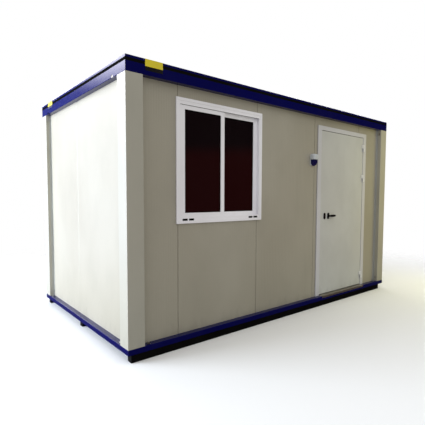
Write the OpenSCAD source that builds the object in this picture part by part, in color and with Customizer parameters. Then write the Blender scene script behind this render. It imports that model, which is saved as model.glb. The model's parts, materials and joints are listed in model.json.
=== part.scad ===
// Portable site cabin: steel base and roof ring on three skids, folded corner
// posts, sandwich-panel walls, a sliding window and an outward-opening door.
// Millimetres. +X runs along the cabin, the door and window side faces -Y,
// +Z is up, and the origin is the middle of the footprint, under the skids.

/* [Cabin] */
// Length over the base and roof ring
cabin_l = 4190; // [3600:10:6000]
// Width over the base and roof ring
cabin_w = 2360; // [1900:10:3000]
// Height from the underside of the base rails to the top of the roof ring
cabin_h = 2430; // [2380:10:2900]
// Thickness of the folded sheet in rails, posts and roof beams
sheet_t = 3; // [2:0.5:5]

/* [Base] */
// Height of each skid
skid_h = 70; // [40:5:150]
// Width of each skid
skid_w = 70; // [40:5:150]
// Distance from the left end of the cabin to the skids
skid_left_set = 30; // [5:5:200]
// Distance from the right end of the cabin to the skids
skid_right_set = 100; // [5:5:200]
// Distance from the long sides of the cabin to the outer skids
skid_side_set = 8; // [0:1:100]
// Height of the base rails
rail_h = 50; // [45:5:120]
// Width of the base rails' flanges
rail_d = 130; // [125:5:200]
// Number of cross joists under the floor
joist_count = 7; // [3:1:12]
// Width of each joist
joist_w = 60; // [40:5:90]
// Thickness of the floor board
floor_t = 18; // [12:1:25]

/* [Walls and posts] */
// Thickness of the wall panels
wall_t = 50; // [40:5:80]
// Depth of the long walls behind the outer face of the frame
side_recess = 65; // [45:5:70]
// Depth of the end walls behind the outer face of the frame
end_recess = 55; // [45:5:70]
// Width of each face of a corner post
post_leg = 155; // [120:5:200]

/* [Roof] */
// Height of the roof ring
ring_h = 130; // [115:5:180]
// Width of the roof beams, from outside to inside
ring_d = 135; // [125:5:200]
// Height of the plain band of the roof ring, below its groove
band_h = 88; // [70:1:95]
// Height of the groove in the roof ring
groove_h = 15; // [8:1:18]
// Depth of the groove
groove_d = 9; // [5:1:15]
// Thickness of the ceiling panels
ceiling_t = 40; // [30:5:60]
// Thickness of the roof sheet
roof_sheet_t = 2; // [1:0.5:3]
// Radius of the notches in the end beams, beside the posts
notch_r = 24; // [10:1:30]
// Distance from a post to the middle of its notch
notch_set = 95; // [60:5:150]

/* [Window] */
// Distance from the left end of the cabin to the window frame
window_left = 506; // [300:2:560]
// Width over the window's face trim
window_w = 1082; // [800:2:1200]
// Height over the window's face trim
window_h = 1131; // [800:1:1220]
// Height of the bottom of the window above the base rails
window_sill_z = 1016; // [700:1:1020]
// Width of the face trim at the sides
window_trim = 42; // [34:1:60]
// Height of the face trim at the head and the sill
window_head = 57; // [45:1:65]
// Distance that the face trim stands out from the wall
trim_proud = 12; // [6:1:20]
// Width of a sash's outer stile
sash_stile = 54; // [35:1:60]
// Width of the stiles where the two sashes meet
sash_meeting = 45; // [30:1:60]
// Height of a sash's rails
sash_rail = 40; // [30:1:60]
// Thickness of a sash
sash_t = 24; // [18:1:24]
// Thickness of the glass
glass_t = 6; // [4:1:8]
// Distance that the frames stand out from the wall inside
inner_proud = 8; // [4:1:20]
// Width of each drain slot in the sill
drain_w = 49; // [20:1:50]
// Height of each drain slot
drain_h = 13; // [6:1:16]

/* [Door] */
// Distance from the right end of the cabin to the door frame
door_right = 476; // [460:2:700]
// Width of the door leaf
door_w = 974; // [700:2:1000]
// Height of the door leaf
door_h = 2083; // [1900:1:2085]
// Thickness of the door leaf
door_t = 40; // [35:1:45]
// Width of the door casing, from the leaf to its outer edge
casing_w = 77; // [60:1:90]
// Height of the casing over the leaf
casing_head = 59; // [50:1:80]
// Gap round the door leaf
door_gap = 5; // [4:0.5:8]
// Height of the lower hinge above the bottom of the leaf
low_hinge_z = 136; // [80:1:400]
// Height of the middle hinge above the bottom of the leaf
middle_hinge_z = 1515; // [900:1:1700]
// Height of the top hinge above the bottom of the leaf
top_hinge_z = 1937; // [1820:1:1960]
// Height of each hinge
hinge_h = 95; // [60:1:120]
// Height of the handle above the bottom of the leaf
handle_z = 1007; // [900:1:1100]
// Distance from the leaf's free edge to the handle's spindle
handle_set = 164; // [130:2:180]
// Length of the lever from its spindle to its tip
lever_l = 128; // [90:2:140]
// Distance from the lock plate to the handle's spindle
lock_gap = 80; // [60:1:100]
// Width of the handle rose and the lock plate
rose_w = 36; // [28:1:44]
// Height of the handle rose and the lock plate
rose_h = 80; // [60:1:110]

/* [Power inlet] */
// Distance from the door casing to the inlet housing
inlet_set = 40; // [20:1:150]
// Width of the inlet housing
inlet_w = 106; // [80:1:130]
// Height of the inlet housing
inlet_h = 140; // [110:1:170]
// Depth of the inlet housing
inlet_d = 60; // [50:1:64]
// Depth of the housing's flat top
inlet_top_d = 33; // [20:1:45]
// Height of the housing's sloping hood
inlet_hood_h = 34; // [10:1:45]
// Height of the upright lip below the hood
inlet_lip_h = 33; // [10:1:50]
// Height of the inlet's underside above the base rails
inlet_z = 1650; // [1200:5:1900]

/* [Labels] */
// Width of each plain label on the roof ring
label_w = 165; // [80:5:220]
// Height of each label on the long sides
label_h = 92; // [60:2:110]
// Height of each label on the ends
end_label_h = 72; // [50:2:110]
// Distance from the corner of the roof ring to a label on a long side
label_set = 175; // [160:5:400]
// Distance from the corner of the roof ring to a label on an end
end_label_set = 260; // [20:5:300]
// Thickness of the labels, and of the threshold's lap over the rail
label_t = 1; // [0.5:0.5:2]

/* [Hidden] */
$fn = 48;

NAVY = [0.07, 0.07, 0.38];
CREAM = [0.80, 0.78, 0.70];
WHITE = [0.90, 0.90, 0.92];
BLACK = [0.06, 0.06, 0.07];
SMOKE = [0.10, 0.11, 0.13];
VINYL = [0.45, 0.43, 0.40];
ZINC = [0.62, 0.63, 0.66];
BEIGE = [0.72, 0.70, 0.62];
YELLOW = [0.93, 0.83, 0.10];
eps = 1;

// Levels
rail_z = skid_h;
deck_z = rail_z + rail_h;
roof_z = rail_z + cabin_h;
soffit_z = roof_z - ring_h;
wall_h = soffit_z - deck_z;

// Planes of the walls
front_y = -cabin_w / 2;
wall_y = front_y + side_recess;
wall_in_y = wall_y + wall_t;
left_x = -cabin_l / 2;
wall_x = left_x + end_recess;

// Window: the trim laps over the wall, and the body fills the cut in it
window_x0 = left_x + window_left;
window_x1 = window_x0 + window_w;
window_z0 = deck_z + window_sill_z;
window_z1 = window_z0 + window_h;
window_lap = 22;
window_face_y = wall_y - trim_proud;
window_body_y1 = wall_in_y + inner_proud;
light_x0 = window_x0 + window_trim;
light_x1 = window_x1 - window_trim;
light_z0 = window_z0 + window_head;
light_z1 = window_z1 - window_head;
sash_set = 5;
track_gap = 3;
track_step = sash_t + track_gap;
track_clear = 0.3;
track_y0 = window_face_y + sash_set;
track_y1 = track_y0 + track_step + sash_t + 1;
sash_lap = 6;
sash_clear = 0.5;
pane_lap = 10;
light_mid = (light_x0 + light_x1) / 2;
cut_x0 = window_x0 + window_lap;
cut_x1 = window_x1 - window_lap;
cut_z0 = window_z0 + window_lap;
cut_z1 = window_z1 - window_lap;
drain_z = window_z0 + 28;
drain_d = 4;
drain_pitch = drain_w + 22;
drain_left_set = 68;
drain_right_set = 64;

// Door: the leaf lies in a rebate of the frame, a little behind its face
casing_x1 = cabin_l / 2 - door_right;
leaf_x1 = casing_x1 - casing_w;
leaf_x0 = leaf_x1 - door_w;
casing_x0 = leaf_x0 - casing_w;
sill_gap = 13;
leaf_z0 = deck_z + sill_gap;
leaf_z1 = leaf_z0 + door_h;
casing_z1 = leaf_z1 + casing_head;
casing_y = wall_y - trim_proud;
leaf_set = 4;
leaf_face_y = casing_y + leaf_set;
leaf_back_y = leaf_face_y + door_t;
stop_y = leaf_back_y + door_gap;
stop_t = 12;
frame_back_y = max(wall_in_y + inner_proud, stop_y + stop_t);
door_lap = 25;
stop_w = 18;
door_cut_x0 = casing_x0 + door_lap;
door_cut_x1 = casing_x1 - door_lap;
door_cut_z1 = casing_z1 - door_lap;
threshold_t = 4;
threshold_lap = 22;

// Door hinges: pin in front of the casing, at the leaf's right-hand edge
hinge_r = 8;
pin_r = 5;
pin_short = 6;
hinge_gap = 1;
knuckle_h = (hinge_h - hinge_gap) / 2;
flap_w = 30;
flap_t = 3;
turn_clear = 0.3;
hinge_x = leaf_x1 + door_gap / 2;
hinge_y = casing_y - hinge_r - flap_t;
flap_y = hinge_y + hinge_r / 2;
hinge_zs = [leaf_z0 + low_hinge_z, leaf_z0 + middle_hinge_z, leaf_z0 + top_hinge_z];

// Handle set
handle_x = leaf_x0 + handle_set;
lever_z = leaf_z0 + handle_z;
rose_t = 8;
lever_r = 9;
neck_l = 34;
spindle_r = 5;

// Power inlet
inlet_x1 = casing_x0 - inlet_set;
inlet_x0 = inlet_x1 - inlet_w;
inlet_z0 = deck_z + inlet_z;
inlet_brow_z = inlet_h - inlet_hood_h;
inlet_face_z = inlet_brow_z - inlet_lip_h;
lid_set = 9;
lid_t = 5;

// A section (x inward, y up) run along X with 45 degree mitres at both ends.
// Its outer face lies on y = 0 and it grows towards +Y.
module mitred(length, depth) {
  intersection() {
    translate([-length / 2, 0, 0]) rotate([90, 0, 90]) linear_extrude(length) children();
    linear_extrude(cabin_h * 2, center = true) polygon([
      [-length / 2 - eps, -eps], [length / 2 + eps, -eps],
      [length / 2 - depth - eps, depth + eps], [-length / 2 + depth + eps, depth + eps]
    ]);
  }
}

// Places a mitred piece on one side of the cabin: 0 front, 1 right, 2 rear, 3 left.
module on_side(side) {
  reach = side % 2 == 0 ? cabin_w / 2 : cabin_l / 2;
  rotate([0, 0, 90 * side]) translate([0, -reach, 0]) children();
}

function side_length(side) = side % 2 == 0 ? cabin_l : cabin_w;

// Copies a piece made at the front-left corner to any corner.
module at_corner(right, rear) {
  mirror([right ? 1 : 0, 0, 0]) mirror([0, rear ? 1 : 0, 0])
    translate([left_x, front_y, 0]) children();
}

module box(x0, x1, y0, y1, z0, z1) {
  translate([x0, y0, z0]) cube([x1 - x0, y1 - y0, z1 - z0]);
}

// ---- Base ----

module skid(y) {
  color(BLACK)
    box(left_x + skid_left_set, -left_x - skid_right_set, y - skid_w / 2, y + skid_w / 2,
        0, skid_h);
}

skid_y = cabin_w / 2 - skid_w / 2 - skid_side_set;
module front_skid() { skid(-skid_y); }
module middle_skid() { skid(0); }
module rear_skid() { skid(skid_y); }

// Channel that is open towards the middle of the cabin.
module channel_section(h, d) {
  polygon([
    [0, 0], [d, 0], [d, sheet_t], [sheet_t, sheet_t],
    [sheet_t, h - sheet_t], [d, h - sheet_t], [d, h], [0, h]
  ]);
}

module base_rail(side) {
  color(NAVY) on_side(side) translate([0, 0, rail_z])
    mitred(side_length(side), rail_d) channel_section(rail_h, rail_d);
}

module base_rail_front() { base_rail(0); }
module base_rail_right() { base_rail(1); }
module base_rail_rear() { base_rail(2); }
module base_rail_left() { base_rail(3); }

// Joists lie between the front and rear rails, on the skids.
module floor_joists() {
  first = -cabin_l / 2 + rail_d + joist_w;
  step = (cabin_l - 2 * (rail_d + joist_w)) / (joist_count - 1);
  reach = cabin_w / 2 - rail_d;
  color(NAVY) for (i = [0 : joist_count - 1])
    box(first + i * step - joist_w / 2, first + i * step + joist_w / 2,
        -reach, reach, rail_z, deck_z - floor_t);
}

module floor_board() {
  color(VINYL)
    box(-cabin_l / 2 + rail_d, cabin_l / 2 - rail_d, -cabin_w / 2 + rail_d,
        cabin_w / 2 - rail_d, deck_z - floor_t, deck_z);
}

// ---- Corner posts ----

// Folded angle with a return on each edge that closes back to the wall.
module post_section() {
  polygon([
    [0, 0], [post_leg, 0], [post_leg, side_recess], [post_leg - sheet_t, side_recess],
    [post_leg - sheet_t, sheet_t], [sheet_t, sheet_t], [sheet_t, post_leg - sheet_t],
    [end_recess, post_leg - sheet_t], [end_recess, post_leg], [0, post_leg]
  ]);
}

module post(right, rear) {
  color(CREAM) at_corner(right, rear)
    translate([0, 0, deck_z]) linear_extrude(wall_h) post_section();
}

module post_front_left() { post(false, false); }
module post_front_right() { post(true, false); }
module post_rear_left() { post(false, true); }
module post_rear_right() { post(true, true); }

// ---- Walls ----

module front_panel(x0, x1, z0, z1) {
  color(CREAM) box(x0, x1, wall_y, wall_in_y, z0, z1);
}

module front_wall_left() { front_panel(wall_x, cut_x0, deck_z, soffit_z); }
module front_wall_below_window() { front_panel(cut_x0, cut_x1, deck_z, cut_z0); }
module front_wall_above_window() { front_panel(cut_x0, cut_x1, cut_z1, soffit_z); }
module front_wall_middle() { front_panel(cut_x1, door_cut_x0, deck_z, soffit_z); }
module front_wall_above_door() {
  front_panel(door_cut_x0, door_cut_x1, door_cut_z1, soffit_z);
}
module front_wall_right() { front_panel(door_cut_x1, -wall_x, deck_z, soffit_z); }

module rear_wall() {
  color(CREAM) box(wall_x, -wall_x, -wall_in_y, -wall_y, deck_z, soffit_z);
}

module end_wall(right) {
  color(CREAM) mirror([right ? 1 : 0, 0, 0])
    box(wall_x, wall_x + wall_t, wall_in_y, -wall_in_y, deck_z, soffit_z);
}

module left_wall() { end_wall(false); }
module right_wall() { end_wall(true); }

// ---- Roof ----

// Folded beam: soffit flange, plain band, groove, cap and a flange for the roof.
module beam_section() {
  cap_z = band_h + groove_h;
  t = sheet_t;
  polygon([
    [0, 0], [ring_d, 0], [ring_d, t], [t, t],
    [t, band_h - t], [groove_d + t, band_h - t], [groove_d + t, cap_z + t],
    [t, cap_z + t], [t, ring_h - t], [ring_d, ring_h - t],
    [ring_d, ring_h], [0, ring_h], [0, cap_z], [groove_d, cap_z],
    [groove_d, band_h], [0, band_h]
  ]);
}

module roof_beam(side) {
  color(NAVY) on_side(side) translate([0, 0, soffit_z]) difference() {
    mitred(side_length(side), ring_d) beam_section();
    if (side % 2 == 1) for (s = [-1, 1])
      translate([s * (cabin_w / 2 - post_leg - notch_set), 0, 0])
        rotate([90, 0, 0]) cylinder(r = notch_r, h = 2 * (sheet_t + eps), center = true);
  }
}

module roof_beam_front() { roof_beam(0); }
module roof_beam_right() { roof_beam(1); }
module roof_beam_rear() { roof_beam(2); }
module roof_beam_left() { roof_beam(3); }

module ceiling() {
  color(WHITE)
    box(wall_x + wall_t, -wall_x - wall_t, wall_in_y, -wall_in_y,
        soffit_z - ceiling_t, soffit_z);
}

module roof_sheet() {
  color(ZINC)
    box(left_x + ring_d, -left_x - ring_d, front_y + ring_d, -front_y - ring_d,
        roof_z - sheet_t, roof_z - sheet_t + roof_sheet_t);
}

// ---- Window ----

// Ring in the wall's plane, between an outer and an inner rectangle.
module ring(x0, x1, z0, z1, ix0, ix1, iz0, iz1, y0, y1) {
  difference() {
    box(x0, x1, y0, y1, z0, z1);
    box(ix0, ix1, y0 - eps, y1 + eps, iz0, iz1);
  }
}

module window_frame() {
  groove_x0 = light_x0 - sash_lap;
  groove_x1 = light_x1 + sash_lap;
  groove_z0 = light_z0 - sash_lap;
  groove_z1 = light_z1 + sash_lap;
  color(WHITE) difference() {
    union() {
      ring(window_x0, window_x1, window_z0, window_z1,
           light_x0, light_x1, light_z0, light_z1, window_face_y, wall_y);
      ring(cut_x0, cut_x1, cut_z0, cut_z1,
           light_x0, light_x1, light_z0, light_z1, wall_y - eps, window_body_y1);
    }
    // rebate that holds the two sashes in their tracks
    box(groove_x0, groove_x1, track_y0, track_y1, groove_z0, groove_z1);
    for (first = [window_x0 + drain_left_set, window_x1 - drain_right_set - drain_w - drain_pitch])
      for (x = [first, first + drain_pitch])
        box(x, x + drain_w, window_face_y - eps, window_face_y + drain_d,
            drain_z, drain_z + drain_h);
  }
}

left_sash_x0 = light_x0 - sash_lap + sash_clear;
left_sash_x1 = light_mid + sash_meeting / 2;
right_sash_x0 = light_mid - sash_meeting / 2;
right_sash_x1 = light_x1 + sash_lap - sash_clear;
left_sash_y = track_y0 + track_clear;
right_sash_y = left_sash_y + track_step;
sash_z0 = light_z0 - sash_lap + sash_clear;
sash_z1 = light_z1 + sash_lap - sash_clear;
left_pane_x0 = light_x0 + sash_stile;
left_pane_x1 = left_sash_x1 - sash_meeting;
right_pane_x0 = right_sash_x0 + sash_meeting;
right_pane_x1 = light_x1 - sash_stile;
pane_z0 = light_z0 + sash_rail;
pane_z1 = light_z1 - sash_rail;

// One sash: stiles and rails round a pane held in the middle of its thickness.
module sash(x0, x1, pane_x0, pane_x1, y0) {
  color(WHITE) difference() {
    ring(x0, x1, sash_z0, sash_z1, pane_x0, pane_x1, pane_z0, pane_z1, y0, y0 + sash_t);
    pane(pane_x0, pane_x1, y0);
  }
}

// The pane of a sash, which laps into the sash on all four sides.
module pane(x0, x1, y0) {
  pane_y = y0 + (sash_t - glass_t) / 2;
  box(x0 - pane_lap, x1 + pane_lap, pane_y, pane_y + glass_t,
      pane_z0 - pane_lap, pane_z1 + pane_lap);
}

module window_sash_left() {
  sash(left_sash_x0, left_sash_x1, left_pane_x0, left_pane_x1, left_sash_y);
}
module window_sash_right() {
  sash(right_sash_x0, right_sash_x1, right_pane_x0, right_pane_x1, right_sash_y);
}
module window_glass_left() {
  color(SMOKE) pane(left_pane_x0, left_pane_x1, left_sash_y);
}
module window_glass_right() {
  color(SMOKE) pane(right_pane_x0, right_pane_x1, right_sash_y);
}

// ---- Door ----

// Three-sided frame standing on the base rail.
module portal(x0, x1, z1, ix0, ix1, iz1, y0, y1) {
  difference() {
    box(x0, x1, y0, y1, deck_z, z1);
    box(ix0, ix1, y0 - eps, y1 + eps, deck_z - eps, iz1);
  }
}

module door_frame() {
  gap_x0 = leaf_x0 - door_gap;
  gap_x1 = leaf_x1 + door_gap;
  gap_z1 = leaf_z1 + door_gap;
  color(WHITE) union() {
    portal(casing_x0, casing_x1, casing_z1, gap_x0, gap_x1, gap_z1,
           casing_y, wall_y);
    portal(door_cut_x0, door_cut_x1, door_cut_z1, gap_x0, gap_x1, gap_z1,
           wall_y - eps, frame_back_y);
    portal(door_cut_x0 + eps, door_cut_x1 - eps, door_cut_z1 - eps,
           gap_x0 + stop_w, gap_x1 - stop_w, gap_z1 - stop_w, stop_y, frame_back_y);
  }
}

// Tread plate over the ledge in front of the door, lapped down over the rail.
module threshold() {
  x0 = leaf_x0 - door_gap;
  x1 = leaf_x1 + door_gap;
  color(BEIGE) union() {
    box(x0, x1, front_y - label_t, stop_y, deck_z, deck_z + threshold_t);
    box(x0, x1, front_y - label_t, front_y, deck_z - threshold_lap, deck_z + eps);
    box(x0 + stop_w, x1 - stop_w, stop_y - eps, frame_back_y, deck_z, deck_z + threshold_t);
  }
}

module door_leaf() {
  color(WHITE) difference() {
    box(leaf_x0, leaf_x1, leaf_face_y, leaf_back_y, leaf_z0, leaf_z1);
    along_y(spindle_r + turn_clear, leaf_face_y - eps, leaf_back_y + eps);
  }
}

// Cylinder on the handle's axis.
module along_y(r, y0, y1) {
  translate([handle_x, y1, lever_z]) rotate([90, 0, 0]) cylinder(r = r, h = y1 - y0);
}

// Frame's half of each hinge: the lower knuckle with the pin standing in it, and
// a flap back to the casing.
module door_hinge_frame_side() {
  color(WHITE) for (z = hinge_zs) translate([0, 0, z - hinge_h / 2]) union() {
    translate([hinge_x, hinge_y, 0]) {
      cylinder(r = hinge_r, h = knuckle_h);
      cylinder(r = pin_r, h = hinge_h - pin_short);
    }
    box(hinge_x, hinge_x + flap_w, flap_y, casing_y, 0, knuckle_h);
  }
}

// Leaf's half of each hinge: the upper knuckle, bored for the pin, and its flap.
module door_hinge_leaf_side() {
  color(WHITE) for (z = hinge_zs) translate([0, 0, z - hinge_h / 2]) difference() {
    union() {
      translate([hinge_x, hinge_y, hinge_h - knuckle_h]) cylinder(r = hinge_r, h = knuckle_h);
      box(hinge_x - flap_w, hinge_x, flap_y, leaf_face_y, hinge_h - knuckle_h, hinge_h);
    }
    translate([hinge_x, hinge_y, -eps])
      cylinder(r = pin_r + turn_clear, h = hinge_h - pin_short + turn_clear + eps);
  }
}

// Upright oval plate on the leaf: two round ends joined by straight sides.
module oval_plate(x, w, h, y0, y1) {
  translate([x, y1, lever_z]) rotate([90, 0, 0]) linear_extrude(y1 - y0) union() {
    for (s = [-1, 1]) translate([0, s * (h - w) / 2]) circle(d = w);
    square([w, h - w], center = true);
  }
}

// Handle rose and lock plate on each face of the leaf. The lever turns in the rose.
module door_furniture() {
  color(BLACK) for (faces = [[leaf_face_y - rose_t, leaf_face_y],
                             [leaf_back_y, leaf_back_y + rose_t]]) {
    oval_plate(handle_x - lock_gap, rose_w, rose_h, faces[0], faces[1]);
    difference() {
      oval_plate(handle_x, rose_w, rose_h, faces[0], faces[1]);
      along_y(lever_r + turn_clear, faces[0] - eps, faces[1] + eps);
    }
  }
}

// One lever arm: a round bar to the right with a round tip.
module lever_arm(y) {
  translate([handle_x, y, lever_z]) rotate([0, 90, 0])
    cylinder(r = lever_r, h = lever_l - lever_r);
  translate([handle_x + lever_l - lever_r, y, lever_z]) sphere(r = lever_r);
}

// Outside and inside levers on one spindle through the leaf.
module door_lever() {
  reach = rose_t + neck_l;
  color(BLACK) union() {
    along_y(spindle_r, leaf_face_y - eps, leaf_back_y + eps);
    along_y(lever_r, leaf_face_y - reach, leaf_face_y - turn_clear);
    along_y(lever_r, leaf_back_y + turn_clear, leaf_back_y + reach);
    lever_arm(leaf_face_y - reach + lever_r);
    lever_arm(leaf_back_y + reach - lever_r);
  }
}

// ---- Power inlet ----

// Hooded box: upright back, sloping hood and a face cut back underneath.
module inlet_housing() {
  color(WHITE) translate([inlet_x0, 0, 0]) rotate([90, 0, 90]) linear_extrude(inlet_w)
    polygon([
      [wall_y, inlet_z0], [wall_y, inlet_z0 + inlet_h],
      [wall_y - inlet_top_d, inlet_z0 + inlet_h],
      [wall_y - inlet_d, inlet_z0 + inlet_brow_z],
      [wall_y - inlet_d, inlet_z0 + inlet_face_z]
    ]);
}

// Lid of the socket, closed on the cut-back face.
module inlet_lid() {
  face_l = sqrt(pow(inlet_d, 2) + pow(inlet_face_z, 2));
  lid_w = inlet_w - 2 * lid_set;
  lid_l = face_l - 2 * lid_set;
  color(NAVY) translate([(inlet_x0 + inlet_x1) / 2, wall_y, inlet_z0])
    rotate([atan2(inlet_face_z, -inlet_d) - 90, 0, 0])
    translate([0, -lid_t, lid_set + lid_l / 2]) rotate([-90, 0, 0]) linear_extrude(lid_t)
    rounded(lid_w, lid_l, lid_set);
}

// Rectangle with round corners.
module rounded(w, l, r) {
  square([w - 2 * r, l], center = true);
  square([w, l - 2 * r], center = true);
  for (x = [-1, 1], y = [-1, 1]) translate([x * (w / 2 - r), y * (l / 2 - r)]) circle(r = r);
}

// ---- Labels ----

// A plain label near the left end of each side of the roof ring.
module side_label(side, set, h) {
  x0 = set - side_length(side) / 2;
  on_side(side) box(x0, x0 + label_w, -label_t, 0, roof_z - h, roof_z);
}

module side_labels() {
  color(YELLOW) {
    for (side = [0, 2]) side_label(side, label_set, label_h);
    for (side = [1, 3]) side_label(side, end_label_set, end_label_h);
  }
}

front_skid();
middle_skid();
rear_skid();
base_rail_front();
base_rail_rear();
base_rail_left();
base_rail_right();
floor_joists();
floor_board();
post_front_left();
post_front_right();
post_rear_left();
post_rear_right();
front_wall_left();
front_wall_below_window();
front_wall_above_window();
front_wall_middle();
front_wall_above_door();
front_wall_right();
rear_wall();
left_wall();
right_wall();
roof_beam_front();
roof_beam_rear();
roof_beam_left();
roof_beam_right();
ceiling();
roof_sheet();
window_frame();
window_sash_left();
window_sash_right();
window_glass_left();
window_glass_right();
door_frame();
threshold();
door_leaf();
door_hinge_frame_side();
door_hinge_leaf_side();
door_furniture();
door_lever();
inlet_housing();
inlet_lid();
side_labels();
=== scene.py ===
import json
import math

import bmesh
import bpy
from mathutils import Matrix, Vector


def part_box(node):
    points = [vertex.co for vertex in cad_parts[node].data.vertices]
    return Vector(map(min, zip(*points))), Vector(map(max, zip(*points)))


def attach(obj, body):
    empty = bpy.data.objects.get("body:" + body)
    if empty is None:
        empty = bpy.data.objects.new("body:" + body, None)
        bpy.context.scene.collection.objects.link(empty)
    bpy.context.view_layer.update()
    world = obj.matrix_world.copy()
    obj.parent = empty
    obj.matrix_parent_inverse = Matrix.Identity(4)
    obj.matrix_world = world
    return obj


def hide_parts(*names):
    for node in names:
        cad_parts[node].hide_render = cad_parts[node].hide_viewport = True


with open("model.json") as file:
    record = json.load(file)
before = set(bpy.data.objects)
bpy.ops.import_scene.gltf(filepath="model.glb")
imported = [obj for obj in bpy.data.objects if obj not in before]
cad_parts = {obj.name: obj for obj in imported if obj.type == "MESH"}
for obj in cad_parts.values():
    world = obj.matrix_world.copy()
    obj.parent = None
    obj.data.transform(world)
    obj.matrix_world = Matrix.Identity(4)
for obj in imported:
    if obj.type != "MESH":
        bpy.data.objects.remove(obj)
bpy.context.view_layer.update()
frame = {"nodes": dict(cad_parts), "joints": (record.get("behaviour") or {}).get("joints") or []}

bl_info = {
    "name": "Portable Site Cabin",
    "version": (1, 0, 0),
    "blender": (4, 5, 0),
    "location": "3D View > Sidebar > Cabin",
    "description": "Finishes a steel-framed site cabin: panels, openings, fittings, paint and stage",
    "category": "Object",
}

NODES = frame["nodes"]
UP = Vector((0, 0, 1))

# Faces and levels of the steel frame that several pieces line up with
LONG_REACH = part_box("base_rail_rear")[1].y
END_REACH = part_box("base_rail_right")[1].x
DECK_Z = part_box("base_rail_front")[1].z
SOFFIT_Z, ROOF_Z = (corner.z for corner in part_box("roof_beam_front"))
WALL_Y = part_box("front_wall_middle")[0].y
WALL_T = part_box("front_wall_middle")[1].y - WALL_Y
WALL_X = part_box("left_wall")[0].x
SHEET = 0.001


# ---- Settings that a user would change ----

def length(name, description, default, low, high):
    return bpy.props.FloatProperty(
        name=name, description=description, default=default, min=low, max=high, unit="LENGTH")


def colour(name, description, default):
    return bpy.props.FloatVectorProperty(
        name=name, description=description, default=default, size=3, min=0, max=1, subtype="COLOR")


class CabinSizes(bpy.types.PropertyGroup):
    rib_pitch: length(
        "Rib Pitch", "Distance between the fine grooves of the wall panels", 0.025, 0.01, 0.2)
    rib_depth: length(
        "Rib Depth", "Depth of the fine grooves of the wall panels", 0.0008, 0.0002, 0.004)
    panel_joint: length(
        "Panel Joint", "Width of the sloped joint between two wall panels", 0.018, 0.004, 0.04)
    fold_radius: length(
        "Fold Radius", "Outer radius of the folds in the steel frame", 0.004, 0.001, 0.008)
    roof_rib_pitch: length(
        "Roof Rib Pitch", "Distance between the ribs of the roof sheet", 0.2, 0.1, 0.4)
    bolt_size: length(
        "Bolt Size", "Width of the bolt heads across their flats", 0.019, 0.008, 0.03)


class CabinColours(bpy.types.PropertyGroup):
    wall: colour("Walls", "Coating of the wall panels", (0.418, 0.392, 0.321))
    post: colour("Posts", "Paint of the corner posts", (0.458, 0.444, 0.378))
    frame: colour("Frame", "Paint of the roof ring and the base", (0.0025, 0.0025, 0.075))
    skid: colour("Skids", "Paint of the skids", (0.002, 0.002, 0.0025))
    window: colour("Window", "Coating of the window's aluminium", (0.94, 0.93, 0.99))
    casing: colour("Door Casing", "Paint of the door casing", (0.65, 0.65, 0.69))
    leaf: colour("Door Leaf", "Paint of the door leaf", (0.61, 0.62, 0.61))
    label: colour("Labels", "Film of the labels", (0.85, 0.70, 0.02))
    socket: colour("Inlet Lid", "Plastic of the power inlet's lid", (0.004, 0.005, 0.085))


class CabinStage(bpy.types.PropertyGroup):
    key: bpy.props.FloatProperty(
        name="Key Light", description="Power of the large lamp beyond the left end",
        default=1120, min=0, max=10000, unit="POWER")
    fill: bpy.props.FloatProperty(
        name="Fill Light", description="Power of the soft warm lamp at the door end",
        default=17, min=0, max=2000, unit="POWER")
    room: bpy.props.FloatProperty(
        name="Room Light", description="Strength of the light from all round",
        default=0.88, min=0, max=2)
    floor: colour("Floor", "Colour of the floor", (0.95, 0.95, 0.95))
    lens: bpy.props.FloatProperty(
        name="Lens", description="Focal length of the camera", default=31.86, min=10, max=200,
        unit="CAMERA")
    place: bpy.props.FloatVectorProperty(
        name="Camera Place", description="Where the camera stands",
        default=(-3.434, -3.985, 1.388), size=3, subtype="TRANSLATION", unit="LENGTH")
    yaw: bpy.props.FloatProperty(
        name="Camera Yaw", description="Turn of the camera from the cabin's short axis",
        default=math.radians(40.08), subtype="ANGLE", unit="ROTATION")
    pitch: bpy.props.FloatProperty(
        name="Camera Pitch", description="Tilt of the camera below the level",
        default=math.radians(3.449), subtype="ANGLE", unit="ROTATION")
    roll: bpy.props.FloatProperty(
        name="Camera Roll", description="Turn of the camera about its own axis",
        default=math.radians(0.262), subtype="ANGLE", unit="ROTATION")
    shift: bpy.props.FloatVectorProperty(
        name="Camera Shift", description="Sideways and upward shift of the lens",
        default=(-0.0277, 0.0150), size=2)


def sizes():
    return bpy.context.scene.cabin_sizes


def colours():
    return bpy.context.scene.cabin_colours


def stage():
    return bpy.context.scene.cabin_stage


# ---- Modelling helpers ----

def nothing_selected():
    if bpy.context.mode != "OBJECT":
        bpy.ops.object.mode_set(mode="OBJECT")
    bpy.ops.object.select_all(action="DESELECT")


def only(piece):
    """Leaves one piece selected and active."""
    nothing_selected()
    piece.select_set(True)
    bpy.context.view_layer.objects.active = piece
    return piece


def settle(piece):
    """Moves a piece's place, turn and size into its mesh."""
    only(piece)
    bpy.ops.object.transform_apply(location=True, rotation=True, scale=True)
    return piece


def block(low, high):
    """A box between two corners."""
    low, high = Vector(low), Vector(high)
    nothing_selected()
    bpy.ops.mesh.primitive_cube_add(size=1, location=(low + high) / 2, scale=high - low)
    return settle(bpy.context.object)


def rod(start, end, radius, sides=24):
    """A round bar, or one of few sides, between two points."""
    start, end = Vector(start), Vector(end)
    nothing_selected()
    bpy.ops.mesh.primitive_cylinder_add(
        vertices=sides, radius=radius, depth=(end - start).length, location=(start + end) / 2,
        rotation=(end - start).to_track_quat("Z", "Y").to_euler())
    return settle(bpy.context.object)


def slab(low, high, edge, segments=2):
    """A box between two corners, with soft edges."""
    return soften(block(low, high), edge, segments)


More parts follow.
